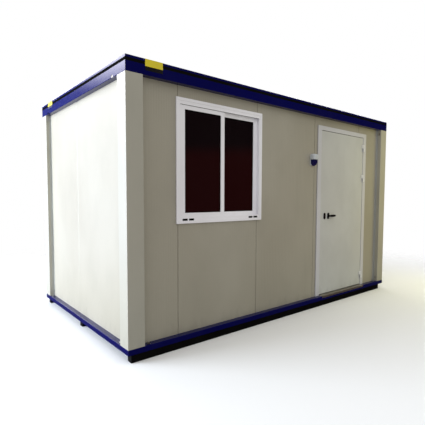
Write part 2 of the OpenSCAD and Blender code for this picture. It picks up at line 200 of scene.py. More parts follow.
def stud(start, end, radius, edge, segments=2, sides=24):
    """A round bar between two points, with soft edges."""
    return soften(rod(start, end, radius, sides), edge, segments)


def another(piece):
    """A copy of a piece, with a mesh of its own."""
    only(piece)
    bpy.ops.object.duplicate()
    return bpy.context.object


def joined(pieces):
    """One piece made of several."""
    only(pieces[0])
    for piece in pieces[1:]:
        piece.select_set(True)
    if len(pieces) > 1:
        bpy.ops.object.join()
    return bpy.context.object


def choose(piece, kind, test):
    """Opens a piece in edit mode with the vertices, edges or faces selected that pass a test."""
    only(piece)
    bpy.ops.object.mode_set(mode="EDIT")
    bpy.ops.mesh.select_mode(type=kind)
    bpy.ops.mesh.select_all(action="DESELECT")
    mesh = bmesh.from_edit_mesh(piece.data)
    parts = {"VERT": mesh.verts, "EDGE": mesh.edges, "FACE": mesh.faces}[kind]
    for part in [p for p in parts if test(p)]:
        part.select_set(True)
    bmesh.update_edit_mesh(piece.data)


def everything(_):
    """The test that every part passes."""
    return True


def done():
    """Closes a piece that choose opened."""
    bpy.ops.object.mode_set(mode="OBJECT")


def cut(piece, point, normal, keep_below=False):
    """Bisects a piece. keep_below drops what lies beyond the plane and closes the cut."""
    choose(piece, "FACE", everything)
    bpy.ops.mesh.bisect(plane_co=point, plane_no=normal, use_fill=keep_below,
                        clear_outer=keep_below, threshold=1e-6)
    done()


def shift(piece, kind, test, by):
    """Moves the vertices, edges or faces that pass a test."""
    choose(piece, kind, test)
    bpy.ops.transform.translate(value=by)
    done()


def modify(piece, kind, **settings):
    """Adds a modifier and applies it."""
    only(piece)
    modifier = piece.modifiers.new("Step", kind)
    for name, value in settings.items():
        setattr(modifier, name, value)
    bpy.ops.object.modifier_apply(modifier=modifier.name)
    return piece


def soften(piece, width, segments=2, angle=40):
    """Rounds the edges of a piece that are sharper than an angle."""
    return modify(piece, "BEVEL", width=width, segments=segments, limit_method="ANGLE",
                  angle_limit=math.radians(angle))


def turned(piece, side):
    """Carries a piece modelled for the front to a side: 0 front, 1 right, 2 rear, 3 left."""
    piece.rotation_euler.z = side * math.pi / 2
    return settle(piece)


def side_reach(side):
    """Distance from the middle of the cabin to the face of a side."""
    return LONG_REACH if side % 2 == 0 else END_REACH


def dressed(node, edge=0.0008, run=None, outer=()):
    """A copy of a CAD node with its doubles merged and its edges softened.

    run is the axis along which the node is folded, and outer the planes, each as an axis
    and a side, on which its folds lie.
    """
    source = NODES[node]
    piece = source.copy()
    piece.data = source.data.copy()
    piece.parent = None
    for key in [k for k in piece.keys() if k.startswith("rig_")]:
        del piece[key]
    bpy.context.scene.collection.objects.link(piece)
    piece.data.materials.clear()
    choose(piece, "VERT", everything)
    bpy.ops.mesh.remove_doubles(threshold=1e-5)
    bpy.ops.mesh.dissolve_limited(angle_limit=math.radians(1))
    done()
    if run is not None:
        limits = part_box(node)

        def is_fold(rim):
            a, b = (v.co for v in rim.verts)
            along = (b - a).normalized()
            if abs(along[run]) < 0.999 or len(rim.link_faces) != 2:
                return False
            if rim.calc_face_angle() < math.radians(30):
                return False
            return any(abs(a[axis] - limits[end][axis]) < 1e-5 for axis, end in outer)

        choose(piece, "EDGE", is_fold)
        bpy.ops.mesh.bevel(offset=sizes().fold_radius, segments=4, affect="EDGES")
        done()
    return soften(piece, edge) if edge else piece


def finished(piece, name, body, slot, finish, stands_for=()):
    """Names a piece, shades it, gives it a finish, and hands it to the frame."""
    only(piece)
    piece.name = name
    piece.data.name = name
    bpy.ops.object.shade_smooth_by_angle(angle=math.radians(35))
    modify(piece, "WEIGHTED_NORMAL", keep_sharp=True)
    painted(piece, finish)
    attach(piece, body)
    if stands_for:
        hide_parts(*stands_for)


def painted(piece, finish):
    """Gives a piece a finish, which is one of the functions that make a material. Each
    material is made once and shared."""
    if finish not in MATERIALS:
        MATERIALS[finish] = finish()
    piece.data.materials.clear()
    piece.data.materials.append(MATERIALS[finish])


def redone(name, new_name, body, slot, finish, **how):
    """Dresses a CAD node and puts the result in its place."""
    finished(dressed(name, **how), new_name, body, slot, finish, [name])


def folded_ring(kind):
    """The four folded members of the base or of the roof ring."""
    for side, run, fold in (("front", 0, (1, 0)), ("rear", 0, (1, 1)), ("left", 1, (0, 0)),
                            ("right", 1, (0, 1))):
        name = f"{kind}_{side}"
        redone(name, name + "_folded", "cabin", "navy_steel", frame_paint, run=run,
               outer=[fold])


# ---- Shared effects, as shader node groups ----

def link(tree, source, target):
    tree.links.new(source, target)


def feed(tree, term, target):
    """Sets a socket to a number or a colour, or links another socket to it."""
    if isinstance(term, (int, float)):
        target.default_value = term
    elif isinstance(term, tuple):
        target.default_value = (*term, 1)
    else:
        link(tree, term, target)


def node(tree, kind, **settings):
    """Adds a node. Each setting goes to its input of that name, or else to its property."""
    made = tree.nodes.new(kind)
    for name, value in settings.items():
        if name in made.inputs:
            made.inputs[name].default_value = value
        else:
            setattr(made, name, value)
    return made


def new_group(name, inputs, outputs):
    """A shader node group with its inputs, each a number or a vector, and float outputs."""
    tree = bpy.data.node_groups.new(name, "ShaderNodeTree")
    for label, value in inputs.items():
        kind = "NodeSocketVector" if isinstance(value, tuple) else "NodeSocketFloat"
        tree.interface.new_socket(label, in_out="INPUT", socket_type=kind).default_value = value
    for label in outputs:
        tree.interface.new_socket(label, in_out="OUTPUT", socket_type="NodeSocketFloat")
    return tree, node(tree, "NodeGroupInput"), node(tree, "NodeGroupOutput")


def maths(tree, operation, first, second, clamp=False):
    """A Math node whose two terms are sockets or numbers."""
    made = node(tree, "ShaderNodeMath", operation=operation, use_clamp=clamp)
    feed(tree, first, made.inputs[0])
    feed(tree, second, made.inputs[1])
    return made.outputs[0]


def own_place(tree):
    """The piece's own coordinates."""
    return node(tree, "ShaderNodeTexCoord").outputs["Object"]


def axes(tree, vector):
    """The three parts of a vector, by name."""
    made = node(tree, "ShaderNodeSeparateXYZ")
    link(tree, vector, made.inputs[0])
    return made.outputs


def cells(tree, scale):
    """Flat cells on the piece's own coordinates, as two greys that differ from cell to cell."""
    made = node(tree, "ShaderNodeTexVoronoi", Scale=scale)
    link(tree, own_place(tree), made.inputs["Vector"])
    grey = node(tree, "ShaderNodeSeparateColor")
    link(tree, made.outputs["Color"], grey.inputs[0])
    return grey.outputs[0], grey.outputs[1]


def ranged(tree, value, low, high, out_low=0.0, out_high=1.0):
    """A smooth Map Range node on a socket."""
    made = node(tree, "ShaderNodeMapRange", clamp=True, interpolation_type="SMOOTHSTEP")
    for name, term in (("Value", value), ("From Min", low), ("From Max", high),
                       ("To Min", out_low), ("To Max", out_high)):
        feed(tree, term, made.inputs[name])
    return made.outputs["Result"]


def noise(tree, scale, detail=3.0, stretch=(1, 1, 1), shift_by=(0, 0, 0)):
    """Noise on the piece's own coordinates, finer along the axes with a larger stretch."""
    mapping = node(tree, "ShaderNodeMapping", Scale=stretch, Location=shift_by)
    link(tree, own_place(tree), mapping.inputs["Vector"])
    made = node(tree, "ShaderNodeTexNoise", Scale=scale, Detail=detail, Roughness=0.55)
    link(tree, mapping.outputs["Vector"], made.inputs["Vector"])
    return made.outputs["Fac"]


def grime_group():
    """Rain streaks, cloudy dust and splashes near the ground. Puts out one mask."""
    tree, given, out = new_group(
        "Grime", {"Streaks": 0.4, "Clouds": 0.4, "Splash": 0.5, "Splash Height": 0.45}, ["Mask"])
    streaks = ranged(tree, noise(tree, 9.0, 4.0, (1, 1, 0.045)), 0.52, 0.78)
    breaks = ranged(tree, noise(tree, 1.7, 3.0, (1, 1, 0.6), (3, 1, 2)), 0.35, 0.7)
    run = maths(tree, "MULTIPLY", streaks, breaks)
    run = maths(tree, "MULTIPLY", run, given.outputs["Streaks"])
    clouds = ranged(tree, noise(tree, 2.6, 5.0, (1, 1, 0.7), (7, 2, 5)), 0.38, 0.72)
    clouds = maths(tree, "MULTIPLY", clouds, given.outputs["Clouds"])
    ragged = maths(tree, "MULTIPLY", noise(tree, 14.0, 5.0, (1, 1, 0.4), (1, 5, 9)), 0.5)
    height = maths(tree, "ADD", axes(tree, own_place(tree))["Z"], ragged)
    splash = ranged(tree, height, 0.3, given.outputs["Splash Height"], 1.0, 0.0)
    splash = maths(tree, "MULTIPLY", splash, given.outputs["Splash"])
    total = maths(tree, "ADD", maths(tree, "ADD", run, clouds), splash, clamp=True)
    link(tree, total, out.inputs["Mask"])
    return tree


def skin_group():
    """The fine texture of sprayed or baked paint, with a slow unevenness of the sheet."""
    tree, given, out = new_group("Paint Skin", {"Peel": 0.3, "Waves": 0.5}, ["Height"])
    peel = maths(tree, "MULTIPLY", noise(tree, 420.0, 2.0), given.outputs["Peel"])
    waves = maths(tree, "MULTIPLY", noise(tree, 3.2, 2.0, (1, 1, 0.5)), given.outputs["Waves"])
    link(tree, maths(tree, "ADD", peel, maths(tree, "MULTIPLY", waves, 6.0)), out.inputs["Height"])
    return tree


def wear_group():
    """Rubbed edges: where the surface turns sharply, broken up by noise."""
    tree, given, out = new_group("Edge Wear", {"Amount": 0.5, "Reach": 0.003}, ["Mask"])
    round_edges = node(tree, "ShaderNodeBevel", samples=4)
    link(tree, given.outputs["Reach"], round_edges.inputs["Radius"])
    flat = node(tree, "ShaderNodeNewGeometry")
    match = node(tree, "ShaderNodeVectorMath", operation="DOT_PRODUCT")
    link(tree, round_edges.outputs["Normal"], match.inputs[0])
    link(tree, flat.outputs["Normal"], match.inputs[1])
    turn = ranged(tree, match.outputs["Value"], 0.90, 0.999, 1.0, 0.0)
    spots = ranged(tree, noise(tree, 26.0, 6.0), 0.50, 0.68)
    mask = maths(tree, "MULTIPLY", turn, spots)
    link(tree, maths(tree, "MULTIPLY", mask, given.outputs["Amount"], clamp=True),
         out.inputs["Mask"])
    return tree


def dust_group():
    """Dust that lies on surfaces facing up."""
    tree, given, out = new_group("Dust", {"Amount": 0.5}, ["Mask"])
    face = node(tree, "ShaderNodeNewGeometry")
    level = ranged(tree, axes(tree, face.outputs["Normal"])["Z"], 0.5, 0.95)
    patches = ranged(tree, noise(tree, 11.0, 6.0, (1, 1, 1), (2, 8, 4)), 0.30, 0.68)
    mask = maths(tree, "MULTIPLY", level, patches)
    link(tree, maths(tree, "MULTIPLY", mask, given.outputs["Amount"], clamp=True),
         out.inputs["Mask"])
    return tree


def grain_group():
    """Straight brushed grain, along X, Y or Z by the stretch of its three axes."""
    tree, given, out = new_group("Brushed Grain", {"Stretch": (1, 40, 40)}, ["Height"])
    scaled = node(tree, "ShaderNodeVectorMath", operation="MULTIPLY")
    link(tree, own_place(tree), scaled.inputs[0])
    link(tree, given.outputs["Stretch"], scaled.inputs[1])
    lines = node(tree, "ShaderNodeTexNoise", Scale=18.0, Detail=4.0, Roughness=0.6)
    link(tree, scaled.outputs["Vector"], lines.inputs["Vector"])
    link(tree, lines.outputs["Fac"], out.inputs["Height"])
    return tree


GROUPS = {"Grime": grime_group, "Paint Skin": skin_group, "Edge Wear": wear_group,
          "Dust": dust_group, "Brushed Grain": grain_group}


def effect(tree, name, **values):
    """Places a shared effect in a material, with this material's own values."""
    group = bpy.data.node_groups.get(name) or GROUPS[name]()
    made = node(tree, "ShaderNodeGroup", node_tree=group)
    for label, value in values.items():
        made.inputs[label.replace("_", " ").title()].default_value = value
    return made.outputs[0]


# ---- Materials ----

def blank(name, base, roughness, metallic=0.0):
    """A material with a Principled BSDF, its tree and its shader."""
    material = bpy.data.materials.new(name)
    material.use_nodes = True
    tree = material.node_tree
    shader = tree.nodes["Principled BSDF"]
    shader.inputs["Base Color"].default_value = (*base, 1)
    shader.inputs["Roughness"].default_value = roughness
    shader.inputs["Metallic"].default_value = metallic
    return material, tree, shader


def mixed(tree, mask, first, second):
    """A colour that goes from the first to the second where the mask is high."""
    made = node(tree, "ShaderNodeMix", data_type="RGBA", clamp_factor=True)
    for index, term in ((0, mask), (6, first), (7, second)):
        feed(tree, term, made.inputs[index])
    return made.outputs[2]


def tinted(base, factor, tint=(1, 1, 1)):
    """A colour made lighter or darker by a factor, and tinted."""
    return tuple(min(1.0, c * factor * t) for c, t in zip(base, tint))


def bumped(tree, shader, height, strength, distance):
    """Gives the surface a relief."""
    bump = node(tree, "ShaderNodeBump", Strength=strength, Distance=distance)
    link(tree, height, bump.inputs["Height"])
    link(tree, bump.outputs["Normal"], shader.inputs["Normal"])


EARTH = (0.10, 0.085, 0.06)
RUST = (0.16, 0.055, 0.02)
BARE = (0.32, 0.32, 0.33)


def sheet_paint(name, base, roughness, streaks=0.25, clouds=0.2, splash=0.3, dust=0.3,
                wear=0.0, peel=0.3, waves=0.4, soil=0.35, gloss=0.5):
    """Sprayed or coil-coated sheet: clean tone, faded tone, grime, dust and rubbed edges."""
    material, tree, shader = blank(name, base, roughness)
    shader.inputs["Specular IOR Level"].default_value = gloss
    fade = ranged(tree, noise(tree, 0.9, 3.0, (1, 1, 0.6), (4, 4, 4)), 0.35, 0.65)
    tone = mixed(tree, fade, tinted(base, 1.03), tinted(base, 0.95, (1.0, 0.99, 0.97)))
    mask = effect(tree, "Grime", streaks=streaks, clouds=clouds, splash=splash)
    soiled = tuple(c * (1 - soil) + e * soil for c, e in zip(base, EARTH))
    tone = mixed(tree, mask, tone, soiled)
    powder = effect(tree, "Dust", amount=dust)
    tone = mixed(tree, powder, tone, tuple(c * 0.6 + 0.14 for c in base))
    if wear:
        rubbed = effect(tree, "Edge Wear", amount=wear)
        tone = mixed(tree, rubbed, tone, BARE)
        link(tree, maths(tree, "MULTIPLY", rubbed, 0.6), shader.inputs["Metallic"])
    link(tree, tone, shader.inputs["Base Color"])
    dirt = maths(tree, "ADD", mask, powder, clamp=True)
    link(tree, ranged(tree, dirt, 0.0, 1.0, roughness, min(1.0, roughness + 0.3)),
         shader.inputs["Roughness"])
    bumped(tree, shader, effect(tree, "Paint Skin", peel=peel, waves=waves), 0.35, 0.0006)
    return material


def wall_coat():
    return sheet_paint("cream panel coating", tuple(colours().wall), 0.42, streaks=0.22,
                       clouds=0.2, splash=0.3, dust=0.1, peel=0.25, waves=0.8, gloss=0.4)


def post_paint():
    return sheet_paint("cream post paint", tuple(colours().post), 0.38, streaks=0.3,
                       clouds=0.2, splash=0.4, wear=0.10, waves=0.5)


def frame_paint():
    return sheet_paint("navy frame paint", tuple(colours().frame), 0.15, streaks=0.2,
                       clouds=0.2, splash=0.1, dust=0.04, wear=0.30, soil=0.06, waves=0.5,
                       gloss=0.16)


def skid_paint():
    return sheet_paint("black skid paint", tuple(colours().skid), 0.60, streaks=0.1, clouds=0.4,
                       splash=0.4, dust=0.15, wear=0.35, soil=0.05, peel=0.9, gloss=0.1)


def window_coat():
    return sheet_paint("white window coating", tuple(colours().window), 0.26, streaks=0.15,
                       clouds=0.12, splash=0.0, dust=0.35, peel=0.12, waves=0.1)


def casing_paint():
    return sheet_paint("white casing paint", tuple(colours().casing), 0.33, streaks=0.2,
                       clouds=0.15, splash=0.35, dust=0.3, wear=0.08, waves=0.2)


# The hinges are painted white, but this white is near pure and far lighter than the casing's: the
# extra lightness is a painted highlight.
def hinge_paint_and_highlight():
    return sheet_paint("white hinge paint with painted highlight", (0.95, 0.95, 0.94), 0.24, streaks=0.1, clouds=0.2,
                       splash=0.1, dust=0.1, wear=0.1, waves=0.0)


def leaf_paint():
    return sheet_paint("off-white door paint", tuple(colours().leaf), 0.40, streaks=0.2,
                       clouds=0.25, splash=0.35, dust=0.2, wear=0.08, waves=0.7)


def ceiling_coat():
    return sheet_paint("white ceiling coating", (0.78, 0.78, 0.76), 0.5, streaks=0.0,
                       clouds=0.15, splash=0.0, dust=0.0, waves=0.5)


def inlet_plastic():
    return sheet_paint("white inlet plastic", (0.62, 0.66, 0.70), 0.30, streaks=0.2,
                       clouds=0.15, splash=0.0, dust=0.4, peel=0.5, waves=0.0)


def lid_plastic():
    return sheet_paint("blue lid plastic", tuple(colours().socket), 0.28, streaks=0.0,
                       clouds=0.2, splash=0.0, dust=0.05, peel=0.7, waves=0.0, soil=0.05, gloss=0.25)


def label_film():
    return sheet_paint("yellow label film", tuple(colours().label), 0.34, streaks=0.5,
                       clouds=0.35, splash=0.0, dust=0.0, peel=0.1, waves=0.1)


def label_ink():
    return sheet_paint("black label ink", (0.010, 0.010, 0.012), 0.32, streaks=0.4,
                       clouds=0.3, splash=0.0, dust=0.0, soil=0.15, peel=0.1, waves=0.1)


def grip_black():
    return sheet_paint("black handle coating", (0.004, 0.004, 0.004), 0.36, streaks=0.0,
                       clouds=0.3, splash=0.0, dust=0.03, wear=0.08, soil=0.04, peel=0.6,
                       waves=0.0, gloss=0.08)


# Grey paint of the cover angles, cooler and more neutral than the posts: the cool cast is painted
# skylight on the returns.
def angle_paint_and_skylight():
    return sheet_paint("grey cover angle paint with painted skylight", (0.47, 0.48, 0.45), 0.34, streaks=0.3,
                       clouds=0.3, splash=0.4, dust=0.1, waves=0.2)


# Black rubber of the seals, gaskets, brush and drain caps. The same black is painted shade in the
# roof ring's groove, in the panel joints, under the window head and in the gap round the door leaf.
def rubber_and_painted_shade():
    return sheet_paint("black seal rubber and painted shade", (0.005, 0.005, 0.005), 0.70, streaks=0.2,
                       clouds=0.4, splash=0.0, dust=0.05, soil=0.06, peel=0.8, waves=0.0, gloss=0.0)


def brushed(name, base, roughness, stretch, grime=0.25):
    """Bare metal with straight grain."""
    material, tree, shader = blank(name, base, roughness, 1.0)
    lines = effect(tree, "Brushed Grain", stretch=stretch)
    mask = effect(tree, "Grime", streaks=0.2, clouds=grime, splash=grime)
    tone = mixed(tree, ranged(tree, lines, 0.3, 0.7), tinted(base, 0.86), tinted(base, 1.08))
    link(tree, mixed(tree, mask, tone, tuple(0.5 * (c + e) for c, e in zip(base, EARTH))),
         shader.inputs["Base Color"])
    link(tree, ranged(tree, maths(tree, "ADD", lines, mask), 0.3, 1.2, roughness - 0.08,
                      roughness + 0.35), shader.inputs["Roughness"])
    bumped(tree, shader, lines, 0.25, 0.0004)
    return material


def bolt_zinc():
    return brushed("zinc plated bolts", (0.52, 0.52, 0.50), 0.40, (12, 12, 12), 0.5)


def hinge_steel():
    return brushed("bright hinge steel", (0.74, 0.74, 0.75), 0.32, (14, 14, 2), 0.2)


def plate_metal():
    return brushed("beige tread plate", (0.70, 0.65, 0.52), 0.38, (0.6, 30, 30), 0.15)


def key_metal():
    return brushed("dark key cylinder", (0.09, 0.085, 0.075), 0.3, (30, 30, 3), 0.2)


def roof_zinc():
    """Galvanised sheet: spangle of crystals, dull bloom and dirt in the valleys."""
    material, tree, shader = blank("galvanised roof sheet", (0.45, 0.46, 0.48), 0.45, 0.85)
    spangle, relief = cells(tree, 70.0)
    tone = mixed(tree, spangle, (0.44, 0.45, 0.47), (0.60, 0.61, 0.63))
    dirt = effect(tree, "Dust", amount=0.6)
    bloom = ranged(tree, noise(tree, 2.2, 5.0, (1, 0.4, 1)), 0.4, 0.7)
    soil = maths(tree, "MULTIPLY", dirt, bloom)
    link(tree, mixed(tree, soil, tone, (0.19, 0.175, 0.15)), shader.inputs["Base Color"])
    link(tree, ranged(tree, soil, 0.0, 0.6, 0.40, 0.85), shader.inputs["Roughness"])
    bumped(tree, shader, relief, 0.08, 0.0004)
    return material


def floor_vinyl():
    """Mottled grey vinyl with fine chips, and scuffs along the way in."""
    material, tree, shader = blank("speckled floor vinyl", (0.26, 0.25, 0.23), 0.45)
    chips, relief = cells(tree, 260.0)
    tone = mixed(tree, ranged(tree, chips, 0.6, 0.9), (0.24, 0.235, 0.22), (0.36, 0.35, 0.33))
    scuffs = ranged(tree, noise(tree, 5.0, 6.0, (1, 2.5, 1)), 0.5, 0.75)
    link(tree, mixed(tree, scuffs, tone, (0.17, 0.15, 0.13)), shader.inputs["Base Color"])
    link(tree, ranged(tree, scuffs, 0.0, 1.0, 0.38, 0.75), shader.inputs["Roughness"])
    bumped(tree, shader, relief, 0.12, 0.0003)
    return material


def smoked_glass_with_painted_reflection():
    """Dark glass with a film of dust that dulls it in patches. Its reddish cast is painted
    reflection of a red brick wall.
    """
    material, tree, shader = blank("dark window glass with painted reflection", (0.02, 0.012, 0.012), 0.02)
    shader.inputs["Transmission Weight"].default_value = 0.6
    shader.inputs["IOR"].default_value = 1.5
    film = effect(tree, "Grime", streaks=0.4, clouds=0.2, splash=0.0)
    # Both tones are reddish as painted reflection of a red brick wall.
    link(tree, mixed(tree, film, (0.016, 0.007, 0.008), (0.026, 0.018, 0.018)),
         shader.inputs["Base Color"])
    link(tree, ranged(tree, film, 0.0, 1.0, 0.01, 0.08), shader.inputs["Roughness"])
    return material


# The material of each finish that has been used
MATERIALS = {}


# ---- Operators: one for each piece or group of like pieces ----

class CABIN_OT_base(bpy.types.Operator):
    """Rounds and paints the skids, the base rails and the floor joists"""
    bl_idname = "cabin.base"
    bl_label = "Base and Skids"

    def execute(self, context):
        for name in ("front_skid", "middle_skid", "rear_skid"):
            redone(name, name + "_bar", "cabin", "skid_steel", skid_paint, edge=0.006)
        folded_ring("base_rail")
        redone("floor_joists", "floor_joists_rolled", "cabin", "navy_steel", frame_paint,
               edge=0.002)
        return {"FINISHED"}


class CABIN_OT_posts(bpy.types.Operator):
    """Folds the corner posts and fits the cover angles between the posts and the walls"""
    bl_idname = "cabin.posts"
    bl_label = "Corner Posts"

    def execute(self, context):
        for name in ("post_front_left", "post_front_right", "post_rear_left", "post_rear_right"):
            outer = [(0, int("right" in name)), (1, int("rear" in name))]
            redone(name, name + "_folded", "cabin", "post_steel", post_paint, run=2, outer=outer)
        angles = []
        for x_side in (-1, 1):
            for y_side in (-1, 1):
                angles += corner_angles(x_side, y_side)
        finished(joined(angles), "post_cover_angles", "cabin", "post_steel", angle_paint_and_skylight)
        return {"FINISHED"}


def post_leg():
    """Width of a post, seen from either side."""
    low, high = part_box("post_front_left")
    return high.x - low.x


def corner_angles(x_side, y_side):
    """Cover angles in the two inner corners between one post and its walls."""
    flap, sheet = 0.024, 0.0015
    x_edge, y_edge = x_side * (END_REACH - post_leg()), y_side * (LONG_REACH - post_leg())
    wall_x, wall_y = x_side * -WALL_X, y_side * -WALL_Y
    along_x, along_y = x_side * flap, y_side * flap
    thick_x, thick_y = x_side * sheet, y_side * sheet
    made = []
    # on the long side and then on the end, with one flap on the wall and one on the post
    for x0, y0, x1, y1 in ((x_edge, wall_y, x_edge - along_x, wall_y + thick_y),
                           (x_edge, wall_y, x_edge - thick_x, wall_y + along_y),
                           (wall_x, y_edge, wall_x + thick_x, y_edge - along_y),
                           (wall_x, y_edge, wall_x + along_x, y_edge - thick_y)):
        made.append(slab((min(x0, x1), min(y0, y1), DECK_Z), (max(x0, x1), max(y0, y1), SOFFIT_Z),
                         0.0006, 1))
    return made


class CABIN_OT_walls(bpy.types.Operator):
    """Makes the sandwich panels of all four walls, with their fine grooves and joints"""
    bl_idname = "cabin.walls"
    bl_label = "Wall Panels"

    def execute(self, context):
        long_joint, end_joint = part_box("front_wall_left")[1].x, -0.09
        seal_and_shade_strips = []
        for name, side in (
                ("front_wall_left", 0), ("front_wall_below_window", 0),
                ("front_wall_above_window", 0), ("front_wall_middle", 0),
                ("front_wall_above_door", 0), ("front_wall_right", 0),
                ("rear_wall", 2), ("left_wall", 3), ("right_wall", 1)):
            wall, seal_and_shade_fillers = ribbed_wall(name, side, end_joint if side % 2 else long_joint)
            finished(wall, name + "_panels", "cabin", "wall_panel", wall_coat, [name])
            seal_and_shade_strips += seal_and_shade_fillers
        # The black strips behind the panel joints are seals and painted shade: they make each joint
        # gap read dark.
        finished(joined(seal_and_shade_strips), "panel_joint_seal_and_shade_strips", "cabin", "wall_panel", rubber_and_painted_shade)
        return {"FINISHED"}


PANEL_MODULE = 1.0
JOINT_GAP = 0.0012
GROOVE_SLOPE = 0.0015
GROOVE_FLOOR = 0.0025


def ribbed_wall(name, side, joint_at):
    """The panels of one wall node and the black strips in the joints between them, which are
    seals and painted shade of the joint gaps. They are modelled for the front and turned to their
    side."""
    low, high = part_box(name)
    corners = [Matrix.Rotation(-side * math.pi / 2, 3, "Z") @ v for v in (low, high)]
    start, end = sorted(c.x for c in corners)
    face = min(c.y for c in corners)
    joints = [joint_at + n * PANEL_MODULE for n in range(-4, 5)]
    narrow, half_seal, seal_back = 0.02, 0.004, 0.0035
    edges = [start] + [j for j in joints if start + narrow < j < end - narrow] + [end]
    tube = groove_tube(start, end, face, low.z, high.z)
    panels, seal_and_shade_strips = [], []
    for left, right in zip(edges, edges[1:]):
        panel = another(tube)
        ends = [(at, inward, any(abs(at - joint) < 0.002 for joint in joints))
                for at, inward in ((left, 1), (right, -1))]
        for at, inward, is_joint in ends:
            cut(panel, (at + inward * JOINT_GAP * is_joint, 0, 0), (-inward, 0, 0),
                keep_below=True)
        for at, inward, is_joint in ends:
            if is_joint:
                slope_edge(panel, at, inward, face)
            if is_joint and inward > 0:
                # A black strip behind the joint's gap: a seal, and painted shade of the gap.
                seal_and_shade_strips.append(block((at - half_seal, face + seal_back, low.z + SHEET),
                                   (at + half_seal, face + WALL_T - 0.002, high.z - SHEET)))
        panels.append(panel)
    bpy.data.objects.remove(tube)
    return turned(joined(panels), side), [turned(seal, side) for seal in seal_and_shade_strips]


def groove_tube(start, end, face, z0, z1):
    """A slab with fine upright grooves in its face, a little longer than it needs to be and
    open at both ends. The grooves stand at whole pitches from the middle of the wall."""
    pitch = sizes().rib_pitch
    first = math.floor(start / pitch) - 1
    count = math.ceil(end / pitch) + 1 - first
    x0 = first * pitch
    strip = block((x0, face, z0), (x0 + pitch, face + WALL_T, z1))
    floor_x0 = x0 + pitch / 2 - GROOVE_FLOOR / 2
    floor_x1 = floor_x0 + GROOVE_FLOOR
    for x in (floor_x0 - GROOVE_SLOPE, floor_x0, floor_x1, floor_x1 + GROOVE_SLOPE):
        cut(strip, (x, 0, 0), (1, 0, 0))
    shift(strip, "FACE", lambda f: abs(f.calc_center_median().x - x0 - pitch / 2) < 1e-4
          and abs(f.calc_center_median().y - face) < 1e-5, (0, sizes().rib_depth, 0))
    choose(strip, "FACE", lambda f: abs(f.normal.x) > 0.99)
    bpy.ops.mesh.delete(type="FACE")
    done()
    return modify(strip, "ARRAY", count=count, use_relative_offset=False,
                  use_constant_offset=True, constant_offset_displace=(pitch, 0, 0),
                  use_merge_vertices=True, merge_threshold=1e-5)


def slope_edge(panel, at, inward, face):
    """Slopes the face of a panel down to its joint."""
    reach, drop, near = sizes().panel_joint / 2, 0.003, 0.002
    cut(panel, (at + inward * reach, 0, 0), (1, 0, 0))
    shift(panel, "VERT", lambda v: abs(v.co.x - at) < near and v.co.y < face + near,
          (0, drop, 0))


class CABIN_OT_roof(bpy.types.Operator):
    """Folds the roof ring's beams, and makes the ribbed roof sheet and the ceiling joints"""
    bl_idname = "cabin.roof"
    bl_label = "Roof"

    def execute(self, context):
        folded_ring("roof_beam")
        # The black strip in the roof ring's groove is painted shade.
        finished(groove_shade_strip(), "roof_groove_painted_shade", "cabin", "navy_steel", rubber_and_painted_shade)
        finished(roof_ribs(), "ribbed_roof_sheet", "cabin", "roof_steel", roof_zinc,
                 ["roof_sheet"])
        painted(NODES["ceiling"], ceiling_coat)
        finished(ceiling_strips(), "ceiling_joint_strips", "cabin", "ceiling_panel",
                 ceiling_coat)
        return {"FINISHED"}


GROOVE_LOW, GROOVE_HIGH, GROOVE_DEPTH = 0.042, 0.027, 0.009


def groove_shade_strip():
    """A black strip in the groove that runs round the roof ring, with its lips over the edges.
    It is painted shade, which makes the whole groove read as dark as the shade under its lip.
    """
    strips, lap = [], 0.006
    for side in range(4):
        reach, across = side_reach(side), side_reach(side + 1)
        strip = slab((-across, -reach - 0.0006, ROOF_Z - GROOVE_LOW - lap),
                     (across, -reach + GROOVE_DEPTH, ROOF_Z - GROOVE_HIGH + lap), 0.0008, 1)
        strips.append(turned(strip, side))
    return joined(strips)


def roof_ribs():
    """Trapezoid ribs across the roof, their tops level with the CAD sheet."""
    low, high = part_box("roof_sheet")
    pitch = sizes().roof_rib_pitch
    depth, crown, slope = 0.030, 0.045, 0.020
    count = round((high.x - low.x) / pitch)
    pitch = (high.x - low.x) / count
    nothing_selected()
    bpy.ops.mesh.primitive_plane_add(
        size=1, location=(low.x + pitch / 2, (low.y + high.y) / 2, high.z - depth - SHEET))
    strip = bpy.context.object
    strip.scale = (pitch, high.y - low.y, 1)
    settle(strip)
    middle = low.x + pitch / 2
    for reach in (crown / 2, crown / 2 + slope):
        for sign in (-1, 1):
            cut(strip, (middle + sign * reach, 0, 0), (1, 0, 0))
    shift(strip, "FACE", lambda f: abs(f.calc_center_median().x - middle) < 0.001,
          (0, 0, depth))
    modify(strip, "ARRAY", count=count, use_relative_offset=False, use_constant_offset=True,
           constant_offset_displace=(pitch, 0, 0), use_merge_vertices=True, merge_threshold=1e-5)
    return modify(strip, "SOLIDIFY", thickness=SHEET, offset=-1)


def ceiling_strips():
    """Flat cover strips under the joints of the ceiling panels."""
    low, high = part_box("ceiling")
    strips, panels, half, thick = [], 4, 0.02, 0.002
    for n in range(1, panels):
        x = low.x + (high.x - low.x) * n / panels
        strips.append(slab((x - half, low.y + SHEET, low.z - thick),
                           (x + half, high.y - SHEET, low.z), 0.0008, 1))
    return joined(strips)


